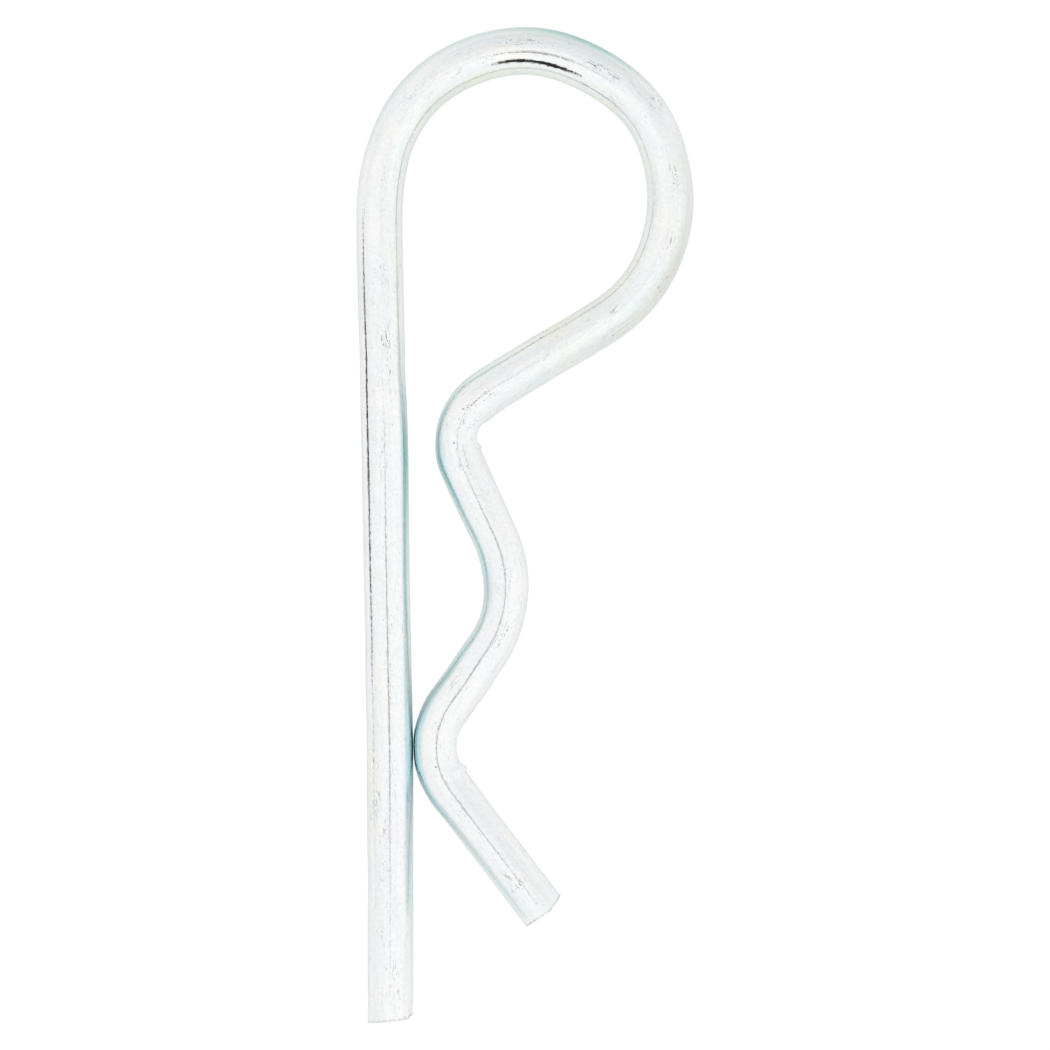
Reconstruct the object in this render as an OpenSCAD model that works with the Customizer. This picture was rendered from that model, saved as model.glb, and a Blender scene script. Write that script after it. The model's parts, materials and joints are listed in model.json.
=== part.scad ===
// Hitch R clip: one length of round spring wire. A straight leg goes through the cross hole of a
// hitch pin, an eye gives the spring and the finger hold, and a wavy leg snaps round the pin's side.
// Units are millimetres. The clip lies flat on z = 0 with its straight leg along Y and its eye at +Y.
// The origin is under the middle of the clip.

/* [Wire] */
// Diameter of the spring wire
wire_d = 4; // [3:0.1:5]

/* [Straight leg] */
// Length of wire in the leg, from its sheared end up to the eye
leg_length = 69; // [57:0.5:83]
// Radius of the slight set that the nose has left in the leg
set_r = 500; // [300:10:700]
// Angle of that set
set_angle = 1.2; // [0.4:0.1:2]

/* [Eye] */
// Radius of the first bend off the leg
entry_r = 17; // [13:0.5:21]
// Angle of the first bend
entry_angle = 26; // [20:1:32]
// Radius of the tighter bend at the eye's shoulder
shoulder_r = 11; // [9:0.5:13.5]
// Angle of the shoulder bend
shoulder_angle = 34; // [27:1:41]
// Radius of the round of the eye
eye_r = 12.6; // [10.5:0.1:15.2]

/* [Wavy leg] */
// Slope to the straight leg of the run that comes back from the eye
neck_slope = 60; // [50:1:70]
// Radius of the neck bend
neck_r = 4.7; // [3.9:0.1:5.7]
// Slope to the straight leg of the run from the neck to the seat
seat_slope = 23; // [19:0.5:28]
// Length of the run from the neck to the seat
seat_run = 7.1; // [5.9:0.1:8.6]
// Slope to the straight leg of the run from the seat to the nose
nose_slope = 35.5; // [30:0.5:42]
// Radius of the nose, which presses on the straight leg
nose_r = 6.6; // [5.5:0.1:8]
// Slope to the straight leg of the tail
tail_slope = 36.5; // [30:0.5:44]
// Length of the tail, from the nose to its tip
tail_run = 13; // [10:0.1:15.6]

/* [Fit] */
// Diameter of the hitch pin that the clip holds
pin_d = 16; // [13:0.5:19.5]
// Clearance between that pin's side and the middle of the seat
seat_clear = 0.2; // [0:0.05:0.5]
// How much tighter than the pin's side the seat is bent, so that its ends grip first
seat_grip = 0.3; // [0:0.05:0.6]
// Gap between the nose and the straight leg
nose_gap = 0.04; // [0.02:0.01:0.3]

/* [Sheared ends] */
// Slant of the shear cut across the straight leg's end, which is longer on its outer side
foot_shear = 5.5; // [0:0.5:10]
// Slant of the face that breaks the inner corner of that cut
foot_break = 45; // [30:1:60]
// Distance in to that face from the leg's side, along the cut
foot_break_in = 0.4; // [0.1:0.05:0.8]
// Slant of the shear cut across the tail's tip, which is longer on its outer side
tail_shear = 5; // [0:0.5:10]
// Slant of the face that breaks the outer corner of that cut
tail_break = 18; // [10:1:30]
// Distance in to that face from the tail's side, along the cut
tail_break_in = 1.4; // [0.8:0.05:1.8]

/* [Marks of the bending pegs] */
// Radius of the peg that the neck was bent round
neck_peg_r = 1.2; // [1:0.05:1.45]
// Depth of the mark that it left inside the neck
neck_mark = 0.35; // [0.1:0.05:0.5]
// Place of that mark along the neck bend, as a share of its angle
neck_mark_at = 0.55; // [0.35:0.05:0.7]
// Radius of the peg that the nose was bent round
nose_peg_r = 3.2; // [2.6:0.1:3.8]
// Depth of the mark that it left inside the nose
nose_mark = 0.35; // [0.1:0.05:0.5]
// Place of that mark along the nose bend, as a share of its angle
nose_mark_at = 0.5; // [0.35:0.05:0.65]

/* [Hidden] */
$fn = 96;

wire_r = wire_d / 2;
// Bending draws the wire a hair thinner. Each piece laps into the next, and where bends follow each
// other the middle one is thinner again, so that no two faces only just meet.
hair = 0.005;
lap = 0.05;
bend_wire_r = wire_r - hair;
shoulder_wire_r = wire_r - 2 * hair;
// Half the size of the blocks that make the end cuts, which have to stay clear of the other leg
cut_size = wire_d;

// The eye turns the wire right round, and on as far as the neck's slope
eye_angle = 180 + neck_slope - entry_angle - shoulder_angle;

// How far a bend carries the wire out from the straight leg's axis, and down along it. A slope is
// measured from the direction down the leg, and is positive where the wire runs away from the leg.
function right_bend_out(r, from, to) = r * (cos(to) - cos(from));
function right_bend_down(r, from, to) = r * (sin(from) - sin(to));
function left_bend_out(r, from, to) = r * (cos(from) - cos(to));
function left_bend_down(r, from, to) = r * (sin(to) - sin(from));

entry_end = 180 - entry_angle;
shoulder_end = entry_end - shoulder_angle;
eye_out = right_bend_out(entry_r, 180, entry_end)
        + right_bend_out(shoulder_r, entry_end, shoulder_end)
        + right_bend_out(eye_r, shoulder_end, -neck_slope);

// The seat stands off the leg's axis by half the pin that the leg goes through
seat_out = pin_d / 2 + seat_clear + wire_r;
seat_r = seat_out - seat_grip;
// The nose all but touches the middle of the set, where the leg is bent half way
set_to_nose = set_r + wire_d + nose_gap + nose_r;
nose_out = set_to_nose * cos(set_angle / 2) - set_r - nose_r;

// The run back from the eye is as long as it takes to bring the seat to its distance
neck_to_seat = left_bend_out(neck_r, -neck_slope, seat_slope)
             + seat_run * sin(seat_slope)
             + right_bend_out(seat_r, seat_slope, 0);
neck_run = (eye_out + neck_to_seat - seat_out) / sin(neck_slope);

// The run on to the nose is as long as it takes to bring the nose to its distance
seat_to_nose = right_bend_out(seat_r, 0, -nose_slope)
             + left_bend_out(nose_r, -nose_slope, 0);
nose_run = (seat_out + seat_to_nose - nose_out) / sin(nose_slope);

// The set is as far down the leg as the nose comes, and the rest of the leg is below it
nose_down = right_bend_down(entry_r, 180, entry_end)
          + right_bend_down(shoulder_r, entry_end, shoulder_end)
          + right_bend_down(eye_r, shoulder_end, -neck_slope)
          + neck_run * cos(neck_slope)
          + left_bend_down(neck_r, -neck_slope, seat_slope)
          + seat_run * cos(seat_slope)
          + right_bend_down(seat_r, seat_slope, -nose_slope)
          + nose_run * cos(nose_slope)
          + left_bend_down(nose_r, -nose_slope, 0);
leg_run = nose_down - set_to_nose * sin(set_angle / 2);
foot_run = leg_length - leg_run - set_r * set_angle * PI / 180;

// The bend table, as a wire bender reads it: a straight run, then the radius and the angle of the
// bend that follows it, and what the bend leaves of the wire's radius. A left bend is positive.
bends = [
    [foot_run, set_r, set_angle, bend_wire_r],
    [leg_run, entry_r, -entry_angle, bend_wire_r],
    [0, shoulder_r, -shoulder_angle, shoulder_wire_r],
    [0, eye_r, -eye_angle, bend_wire_r],
    [neck_run, neck_r, neck_slope + seat_slope, bend_wire_r],
    [seat_run, seat_r, -seat_slope - nose_slope, bend_wire_r],
    [nose_run, nose_r, nose_slope + tail_slope, bend_wire_r],
    [tail_run, 0, 0, 0],
];
// Rows of the table that later sizes refer to
ENTRY = 1;
EYE = 3;
NECK = 4;
NOSE = 6;
TAIL = 7;

// A pose is the place and the heading of the wire's axis
function after_run(pose, length) =
    [pose[0] + length * cos(pose[2]), pose[1] + length * sin(pose[2]), pose[2]];

function after_bend(pose, r, angle) =
    let (side = sign(angle), heading = pose[2] + angle)
    [pose[0] + side * r * (sin(heading) - sin(pose[2])),
     pose[1] - side * r * (cos(heading) - cos(pose[2])),
     heading];

function row_start(row) =
    row == 0 ? [0, 0, 90] : after_bend(bend_start(row - 1), bends[row - 1][1], bends[row - 1][2]);

function bend_start(row) = after_run(row_start(row), bends[row][0]);

// The centre of a row's bend
function bend_centre(row) =
    let (pose = bend_start(row), r = sign(bends[row][2]) * bends[row][1])
    [pose[0] - r * sin(pose[2]), pose[1] + r * cos(pose[2])];

// The clip's outermost lines, which place its middle over the origin
left_x = bend_centre(ENTRY)[0] - entry_r - bend_wire_r;
right_x = bend_centre(EYE)[0] + eye_r + bend_wire_r;
top_y = bend_centre(EYE)[1] + eye_r + bend_wire_r;
bottom_y = -wire_r * tan(foot_shear);

// Puts what follows at a pose, with the wire's axis along +Y
module at_pose(pose) {
    translate([pose[0], pose[1], 0]) rotate([0, 0, pose[2] - 90]) children();
}

// A straight length of wire along +Y, with a lap at each end
module run(length) {
    translate([0, -lap, 0]) rotate([-90, 0, 0]) cylinder(h = length + 2 * lap, r = wire_r);
}

// A bent length of wire that starts along +Y, with a lap at each end. A right bend is drawn from its
// far end back.
module bend(r, angle, section_r) {
    lap_angle = lap / r * 180 / PI;
    translate([angle < 0 ? r : -r, 0, 0])
        rotate([0, 0, (angle < 0 ? 180 + angle : 0) - lap_angle])
            rotate_extrude(angle = abs(angle) + 2 * lap_angle)
                translate([r, 0]) circle(r = section_r);
}

// What a shear cuts away past the end of a wire that points along +Y. The cut slants up to +X, or
// down if the shear is negative, and a second face breaks its corner at that side.
module end_cut(shear, break, break_in) {
    break_at = wire_r - break_in;
    rotate([0, 0, shear]) half_block();
    translate([break_at, break_at * tan(shear), 0]) rotate([0, 0, -break]) half_block();
}

// A block that fills the space past y = 0
module half_block() {
    translate([-cut_size, 0, -cut_size]) cube(2 * cut_size);
}

// The flute that a bending peg presses into the inside of a bend
module peg_mark(row, peg_r, depth, share) {
    pose = bend_start(row);
    heading = pose[2] + share * bends[row][2];
    reach = bends[row][1] - wire_r + depth - peg_r;
    centre = bend_centre(row);
    translate([centre[0] + reach * sin(heading), centre[1] - reach * cos(heading), 0])
        cylinder(h = 2 * wire_d, r = peg_r, center = true);
}

// The whole wire, run by run and bend by bend. Its first run starts early, where the shear cuts it.
module bent_wire() {
    at_pose([0, -wire_r, 90]) run(wire_r);
    for (row = [0 : len(bends) - 1]) {
        if (bends[row][0] > 0) at_pose(row_start(row)) run(bends[row][0]);
        if (bends[row][1] > 0)
            at_pose(bend_start(row)) bend(bends[row][1], bends[row][2], bends[row][3]);
    }
}

module clip_wire() {
    color("gainsboro")
        translate([-(left_x + right_x) / 2, -(bottom_y + top_y) / 2, wire_r])
            difference() {
                bent_wire();
                mirror([0, 1, 0]) end_cut(-foot_shear, foot_break, foot_break_in);
                at_pose(bend_start(TAIL)) mirror([1, 0, 0]) end_cut(tail_shear, tail_break, tail_break_in);
                peg_mark(NECK, neck_peg_r, neck_mark, neck_mark_at);
                peg_mark(NOSE, nose_peg_r, nose_mark, nose_mark_at);
            }
}

clip_wire();
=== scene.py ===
# %% [markdown]
# # A hitch R clip, bent from zinc-plated spring wire
#
# The real clip is one length of 4 mm spring wire. A wire bender cuts it from a coil, bends it round a
# row of pegs, and sends it to be barrel plated with zinc. This lesson makes it in the same order: draw
# the wire straight, shear its ends, write on it where each point of its skin is, and only then bend it.
# All patterns are tied to the straight wire, so they follow it round every bend.
#
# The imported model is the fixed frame. It says how large the clip is and where it lies.

# %% Load the frame
import json
import math

import bmesh
import bpy
from mathutils import Matrix, Vector, noise


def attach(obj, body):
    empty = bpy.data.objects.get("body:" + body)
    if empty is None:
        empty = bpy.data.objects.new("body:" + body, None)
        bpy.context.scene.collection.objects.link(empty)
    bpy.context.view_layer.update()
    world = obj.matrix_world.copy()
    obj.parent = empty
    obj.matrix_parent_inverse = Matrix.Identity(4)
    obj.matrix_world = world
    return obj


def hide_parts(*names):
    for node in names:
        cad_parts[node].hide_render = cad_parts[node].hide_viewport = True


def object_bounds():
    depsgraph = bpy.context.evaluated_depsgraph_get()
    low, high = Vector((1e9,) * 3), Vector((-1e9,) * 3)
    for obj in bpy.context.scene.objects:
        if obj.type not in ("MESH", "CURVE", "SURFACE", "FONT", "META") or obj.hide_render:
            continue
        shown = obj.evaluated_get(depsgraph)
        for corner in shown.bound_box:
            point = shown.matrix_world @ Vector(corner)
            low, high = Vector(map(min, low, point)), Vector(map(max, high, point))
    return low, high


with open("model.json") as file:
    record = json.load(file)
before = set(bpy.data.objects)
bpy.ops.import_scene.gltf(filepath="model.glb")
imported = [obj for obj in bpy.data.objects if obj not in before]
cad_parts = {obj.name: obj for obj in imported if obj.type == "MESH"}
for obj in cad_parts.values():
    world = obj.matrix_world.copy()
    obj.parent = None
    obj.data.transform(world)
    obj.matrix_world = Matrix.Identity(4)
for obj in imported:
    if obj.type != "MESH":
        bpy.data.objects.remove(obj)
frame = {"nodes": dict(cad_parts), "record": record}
cad_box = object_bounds()
MM = 0.001
print("nodes in the frame:", sorted(frame["nodes"]))
print("size in mm:", [round((high - low) / MM, 2) for low, high in zip(*cad_box)])

# %% [markdown]
# ## The bend table
#
# A wire form is given by a bend table: a straight run, then the radius and the angle of the bend that
# follows it, and so on to the tip. A left bend is positive. Some runs aren't chosen but follow from
# what the clip has to do. The seat stands off the leg by half the pin, and the nose all but touches
# the leg. `walk` goes along a table and says where the wire gets to, so those runs can be solved: each
# millimetre of a run carries the wire sideways by the cosine of its heading.

# %% Driving sizes, in millimetres and degrees
mounts = {mount["name"]: mount for mount in frame["record"]["mounts"]}
WIRE_R = mounts["straight_leg"]["dims"]["r_mm"]
PIN_R = mounts["pin_seat"]["dims"]["r_mm"]

LEG_LENGTH = 69.0
SET_R, SET_ANGLE = 500.0, 1.2
ENTRY_R, ENTRY_ANGLE = 17.0, 26.0
SHOULDER_R, SHOULDER_ANGLE = 11.0, 34.0
EYE_R = 12.6
NECK_SLOPE, NECK_R = 60.0, 4.7
SEAT_SLOPE, SEAT_RUN = 23.0, 7.1
NOSE_SLOPE, NOSE_R = 35.5, 6.6
TAIL_SLOPE, TAIL_RUN = 36.5, 13.0
SEAT_CLEAR, SEAT_GRIP, NOSE_GAP = 0.2, 0.3, 0.04

seat_out = PIN_R + SEAT_CLEAR + WIRE_R
seat_r = seat_out - SEAT_GRIP
eye_angle = 180 + NECK_SLOPE - ENTRY_ANGLE - SHOULDER_ANGLE
print("wire radius", WIRE_R, "seat radius", seat_r, "eye angle", eye_angle)

# %% Walk along a bend table
UP_THE_LEG = (0.0, 0.0, 90.0)


def walk(rows, pose=UP_THE_LEG):
    """The pose at the end of the rows: x, y and heading."""
    x, y, heading = pose
    for run, radius, angle in rows:
        x += run * math.cos(math.radians(heading))
        y += run * math.sin(math.radians(heading))
        side = math.copysign(radius, angle)
        turned = heading + angle
        x += side * (math.sin(math.radians(turned)) - math.sin(math.radians(heading)))
        y -= side * (math.cos(math.radians(turned)) - math.cos(math.radians(heading)))
        heading = turned
    return x, y, heading


def run_to_reach(x_wanted, before, after):
    """How long a run between two parts of a table has to be, for the wire to end at x_wanted."""
    heading = walk(before)[2]
    return (x_wanted - walk(before + after)[0]) / math.cos(math.radians(heading))


print("after the entry bend:", [round(v, 2) for v in walk([(0, ENTRY_R, -ENTRY_ANGLE)])])

# %% Solve the runs
eye_rows = [(0, ENTRY_R, -ENTRY_ANGLE), (0, SHOULDER_R, -SHOULDER_ANGLE), (0, EYE_R, -eye_angle)]
neck_bend = NECK_SLOPE + SEAT_SLOPE
neck_run = run_to_reach(
    seat_out, eye_rows, [(0, NECK_R, neck_bend), (SEAT_RUN, seat_r, -SEAT_SLOPE)]
)
seat_rows = [(neck_run, NECK_R, neck_bend), (SEAT_RUN, seat_r, -SEAT_SLOPE - NOSE_SLOPE)]

# The nose bears on the middle of the set that it has pressed into the leg
set_to_nose = SET_R + 2 * WIRE_R + NOSE_GAP + NOSE_R
nose_out = set_to_nose * math.cos(math.radians(SET_ANGLE / 2)) - SET_R - NOSE_R
to_nose = [(0, NOSE_R, NOSE_SLOPE)]
nose_run = run_to_reach(nose_out, eye_rows + seat_rows, to_nose)
nose_rows = [(nose_run, NOSE_R, NOSE_SLOPE + TAIL_SLOPE)]

nose_down = -walk(eye_rows + seat_rows + [(nose_run, 0, 0)] + to_nose)[1]
leg_run = nose_down - set_to_nose * math.sin(math.radians(SET_ANGLE / 2))
foot_run = LEG_LENGTH - leg_run - SET_R * math.radians(SET_ANGLE)

first_bend = [(foot_run, SET_R, SET_ANGLE), (leg_run, ENTRY_R, -ENTRY_ANGLE)]
BENDS = first_bend + eye_rows[1:] + seat_rows + nose_rows + [(TAIL_RUN, 0, 0)]
NECK, NOSE = 4, 6
WIRE_LENGTH = sum(run + radius * abs(math.radians(angle)) for run, radius, angle in BENDS)
print("wire length", round(WIRE_LENGTH, 2), "mm, runs", [round(row[0], 2) for row in BENDS])

# %% [markdown]
# ## The wire before it is bent
#
# A round wire is a circle extruded along a line. It is extruded in a few long stretches, and then the
# edges along the wire are subdivided into rings. That is much faster than extruding ring by ring. Rings
# 0.3 mm apart are smooth in the wide bends. The neck and the nose get finer rings, because the bending
# pegs have left sharp marks in them. There are no rings close to the ends, so that the shears cut clean
# faces and leave no slivers.
#
# The straight wire lies along Y with its foot at zero. X is to the right of someone who walks up it.

# %% Extrude a circle along the straight wire
SIDES = 96
# The bends leave the wire a hair under its size, so it stays inside the frame's box
SKIN_R = WIRE_R - 0.010
RING_STEP, FINE_STEP = 0.3, 0.09
# How far the fine rings go past a bend, how much of each end has no rings, and what the shears take
BEND_MARGIN, END_LENGTH, SPARE = 0.5, 1.2, 0.6


def bend_span(row):
    """Where a row's bend starts and ends along the wire."""
    start = sum(run + radius * abs(math.radians(angle)) for run, radius, angle in BENDS[:row])
    start += BENDS[row][0]
    return start, start + BENDS[row][1] * abs(math.radians(BENDS[row][2]))


def extrude_stretch(bm, ring, end):
    """Extrudes the ring's edges along Y to a place, and returns the new ring and the long edges."""
    made = bmesh.ops.extrude_edge_only(bm, edges=ring)["geom"]
    verts = [part for part in made if isinstance(part, bmesh.types.BMVert)]
    bmesh.ops.translate(bm, verts=verts, vec=(0, end - verts[0].co.y, 0))
    new_ring = [part for part in made if isinstance(part, bmesh.types.BMEdge)]
    return new_ring, {edge for vert in verts for edge in vert.link_edges} - set(new_ring)


bm = bmesh.new()
across = Matrix.Translation((0, -SPARE, WIRE_R)) @ Matrix.Rotation(math.radians(90), 4, "X")
bmesh.ops.create_circle(bm, cap_ends=False, segments=SIDES, radius=SKIN_R, matrix=across)
ring, reached = list(bm.edges), -SPARE
stretches = [(END_LENGTH, END_LENGTH + SPARE)]
for row in (NECK, NOSE):
    start, end = bend_span(row)
    stretches += [(start - BEND_MARGIN, RING_STEP), (end + BEND_MARGIN, FINE_STEP)]
stretches += [(WIRE_LENGTH - END_LENGTH, RING_STEP), (WIRE_LENGTH + SPARE, END_LENGTH + SPARE)]
long_edges = []
for end, step in stretches:
    ring, edges = extrude_stretch(bm, ring, end)
    long_edges.append((edges, round((end - reached) / step) - 1))
    reached = end
for edges, cuts in long_edges:
    if cuts > 0:
        bmesh.ops.subdivide_edges(bm, edges=list(edges), cuts=cuts)
print("straight wire:", len(bm.verts), "vertices,", len(bm.faces), "faces")

# %% [markdown]
# ## Drawn, but not perfect
#
# A drawn wire is never a perfect cylinder, and a hand-set bender never follows its table exactly. So the
# wire wanders from its line by up to a tenth of a millimetre, and it swells or thins where it was
# squeezed. One small table says how far each side of the wire stands out. Half of the difference between
# the two sides is sway, which moves the whole section across, and half of their sum is swell. A Displace
# modifier could roughen the wire too, but it can't put a swell at a known place. Two small swells on the
# nose, either side of where it bears on the leg, leave the rubbed spot between them flat.
#
# The bender's rollers have also flattened the right flank in three places. A flat takes off only the very
# side of the wire, which a high power of the distance from the middle does. A slow wave a few thousandths
# of a millimetre deep is added all over, because it makes the reflections wander as they do on real wire.

# %% Sway and swell the wire
RIGHT, LEFT = 1, -1
# Where along the wire, how far the bump reaches, on which side, and how much
BUMPS = [
    (5.0, 9.0, LEFT, -0.08),
    (1.0, 2.0, LEFT, -0.04),
    (12.0, 3.0, LEFT, -0.07),
    (24.0, 4.0, LEFT, -0.03),
    (34.0, 4.0, LEFT, -0.04),
    (0.0, 1.5, RIGHT, -0.08),
    (23.4, 4.0, RIGHT, 0.03),
    (49.0, 14.0, LEFT, -0.09),
    (49.0, 6.0, RIGHT, 0.11),
    (55.5, 1.5, RIGHT, -0.06),
    (57.0, 2.5, LEFT, -0.04),
    (70.5, 2.0, RIGHT, 0.06),
    (70.5, 3.0, LEFT, -0.05),
    (75.5, 2.0, LEFT, -0.03),
    (75.2, 1.5, RIGHT, -0.07),
    (79.0, 9.0, LEFT, -0.10),
    (85.0, 5.0, RIGHT, 0.15),
    (96.0, 4.5, RIGHT, 0.22),
    (91.0, 2.0, LEFT, 0.03),
    (96.2, 3.0, LEFT, -0.10),
    (102.5, 2.6, LEFT, 0.05),
    (102.8, 3.0, RIGHT, -0.12),
    (107.2, 2.2, LEFT, -0.09),
    (118.0, 4.0, RIGHT, -0.14),
    (118.0, 5.0, LEFT, 0.06),
    (125.0, 1.6, RIGHT, -0.07),
    (125.0, 2.0, LEFT, 0.04),
    (135.0, 1.1, LEFT, 0.12),
    (137.2, 2.6, RIGHT, -0.12),
    (139.4, 1.0, RIGHT, -0.05),
    (148.0, 2.2, RIGHT, -0.09),
    (155.5, 3.6, RIGHT, -0.08),
    (154.5, 2.5, LEFT, -0.06),
    (161.5, 1.6, RIGHT, -0.08),
    (161.5, 1.6, LEFT, 0.05),
    (166.8, 0.9, RIGHT, 0.055),
    (169.2, 0.9, RIGHT, 0.055),
    (172.0, 2.0, LEFT, 0.08),
    (175.0, 4.0, RIGHT, -0.04),
    (181.0, 3.0, RIGHT, -0.06),
]
# Where the bender's rollers have flattened the right flank, how far the flat reaches, and its depth
FLATS = [(137.2, 2.6, 0.10), (155.5, 3.6, 0.11), (175.0, 4.0, 0.06)]
FLAT_POWER = 6
WAVE_DEPTH = 0.005
WAVE_LENGTH = Vector((2.5, 9.0, 2.5))


def bell(along, place, reach):
    """1 at a place along the wire, falling away smoothly on both sides."""
    return math.exp(-(((along - place) / reach) ** 2))


def sides_at(along):
    """How far the right and the left side of the wire stand out at a place along it."""
    stand = {RIGHT: 0.0, LEFT: 0.0}
    for place, reach, facing, amount in BUMPS:
        stand[facing] += amount * bell(along, place, reach)
    return stand[RIGHT], stand[LEFT]


for vert in bm.verts:
    along = vert.co.y
    right, left = sides_at(along)
    swell = (right + left) / 2 * (vert.co.x / SKIN_R) ** 2
    wave = WAVE_DEPTH * noise.noise(Vector(p / w for p, w in zip(vert.co, WAVE_LENGTH)))
    flat = sum(depth * bell(along, place, reach) for place, reach, depth in FLATS)
    flat *= max(0.0, vert.co.x / SKIN_R) ** FLAT_POWER
    outward = Vector((vert.co.x, 0, vert.co.z - WIRE_R)).normalized()
    vert.co += outward * (swell + wave)
    vert.co.x += (right - left) / 2 - flat
print("widest bump", max(amount for *_, amount in BUMPS), "mm, and", len(FLATS), "flats")

# %% [markdown]
# ## Sheared ends
#
# A shear cuts spring wire at a slight slant and then breaks it. The last corner snaps off at an angle
# of its own. So each end is cut by two planes: bisect_plane clears what lies past each plane, and the
# open loop is filled. A Boolean with a block could do the same, but a plane leaves one clean loop that is
# easy to find again. A negative shear slants the other way. The rim of the cut is then bevelled, because
# the plating rounds a sharp lip.

# %% Shear the ends
FOOT_SHEAR, FOOT_BREAK, FOOT_BREAK_IN = -5.5, 45.0, 0.4
TAIL_SHEAR, TAIL_BREAK, TAIL_BREAK_IN = 3.5, 18.0, 1.4
# The blade comes down slightly askew, so the top of the wire ends first
BLADE_TILT = math.radians(2.0)
# What the shear's own burr costs each end in length, and how far the plating rounds the lip
TRIM, LIP_R = 0.05, 0.15
RIM_ANGLE = math.radians(30)


def cut(bm, point, outward):
    """Clears the wire past a plane and closes it with a face."""
    geometry = bm.verts[:] + bm.edges[:] + bm.faces[:]
    made = bmesh.ops.bisect_plane(
        bm, geom=geometry, dist=1e-5, plane_co=point, plane_no=outward, clear_outer=True
    )
    rim = [edge for edge in made["geom_cut"] if isinstance(edge, bmesh.types.BMEdge)]
    bmesh.ops.edgeloop_fill(bm, edges=rim)


def shear_end(bm, place, facing, shear, broken_side, break_slope, break_in):
    """Cuts the wire's end with a slant, breaks the corner at one side, and returns both planes."""

    def plane(slope, out, along):
        point = Vector((broken_side * out, place + facing * (along - TRIM), WIRE_R))
        slope = math.radians(slope)
        tilt = math.tan(BLADE_TILT)
        outward = Vector((-broken_side * math.sin(slope), facing * math.cos(slope), tilt))
        return point, outward.normalized()

    break_at = WIRE_R - break_in
    planes = [plane(shear, 0, 0)]
    planes.append(plane(-break_slope, break_at, break_at * math.tan(math.radians(shear))))
    for point, outward in planes:
        cut(bm, point, outward)
    return planes


def looks_along(face):
    """Whether a face looks along the wire, as those of the cuts do."""
    return abs(face.normal.y) > 0.5


cut_planes = shear_end(bm, 0, -1, FOOT_SHEAR, RIGHT, FOOT_BREAK, FOOT_BREAK_IN)
cut_planes += shear_end(bm, WIRE_LENGTH, 1, TAIL_SHEAR, LEFT, TAIL_BREAK, TAIL_BREAK_IN)
bmesh.ops.recalc_face_normals(bm, faces=bm.faces)
end_faces = [face for face in bm.faces if looks_along(face)]
rims = {edge for face in end_faces for edge in face.edges}
rims = [edge for edge in rims if edge.calc_face_angle(0) > RIM_ANGLE]
bmesh.ops.bevel(
    bm, geom=rims, offset=LIP_R, offset_type="OFFSET", segments=3, profile=0.5,
    affect="EDGES", clamp_overlap=True, material=-1,
)
bmesh.ops.recalc_face_normals(bm, faces=bm.faces)
print("end faces:", len(end_faces), "rim edges:", len(rims), "vertices now:", len(bm.verts))

# %% [markdown]
# A shear leaves a bright smooth band where the blade went in, and a torn, grainy face where the wire gave
# way. Bump in the material could fake that grain, but its rim would stay straight from the side, so it is
# made in the mesh. The flat faces have no vertices inside them to carry it, so bisect_plane dices them
# like an onion, first one way and then the other. Then each vertex inside the face sinks in a little.

# %% Tear the end faces
DICE = 0.2
# How deep the grain is, how coarse it is, and how far in from the skin it reaches its full depth
TORN_DEPTH, TORN_GRAIN, TORN_FADE = 0.14, 0.55, 0.5
# How quickly finer grain fades, how much finer each layer is than the last, and how many there are
TORN_LAYERS = (0.8, 2.0, 4)
# The bevelled rim's faces are smaller than this, in square millimetres
RIM_AREA = 0.1

torn = {face for face in bm.faces if looks_along(face) and face.calc_area() > RIM_AREA}
slices = round(WIRE_R / DICE)
for normal in (Vector((1, 0, 0)), Vector((0, 0, 1))):
    for step in range(1 - slices, slices):
        through = Vector((0, 0, WIRE_R)) + normal * (step + 0.5) * DICE
        parts = torn | {edge for face in torn for edge in face.edges}
        parts |= {vert for face in torn for vert in face.verts}
        made = bmesh.ops.bisect_plane(bm, geom=list(parts), dist=1e-5, plane_co=through, plane_no=normal)
        torn |= {part for part in made["geom"] if isinstance(part, bmesh.types.BMFace)}
        torn = {face for face in torn if face.is_valid}
# A plane that just misses a vertex leaves a second one beside it, so such pairs are merged
bmesh.ops.dissolve_degenerate(bm, dist=1e-4, edges=bm.edges)
torn = {face for face in torn if face.is_valid}
inside = {vert for face in torn for vert in face.verts if set(vert.link_faces) <= torn}
for vert in inside:
    across = Vector((vert.co.x, 0, vert.co.z - WIRE_R))
    edge_fade = min(1.0, max(0.0, (SKIN_R - across.length) / TORN_FADE))
    grain = min(1.0, abs(noise.fractal(vert.co / TORN_GRAIN, *TORN_LAYERS)))
    inwards = 1 if vert.co.y < WIRE_LENGTH / 2 else -1
    vert.co.y += inwards * TORN_DEPTH * edge_fade * grain
print("torn faces:", len(torn), "vertices moved:", len(inside))

# %% [markdown]
# ## What the material has to know
#
# Before the wire is bent, each vertex keeps its place on the straight wire as an attribute, in
# millimetres. The material reads that attribute, so draw lines run along the wire and round its bends.
# A UV map could do this as well, but it would have a seam along the wire, and this has none.

# %% Keep the straight place
straight = bm.verts.layers.float_vector.new("straight_wire")
for vert in bm.verts:
    vert[straight] = vert.co - Vector((0, 0, WIRE_R))
print("kept the straight place of", len(bm.verts), "vertices")

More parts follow.
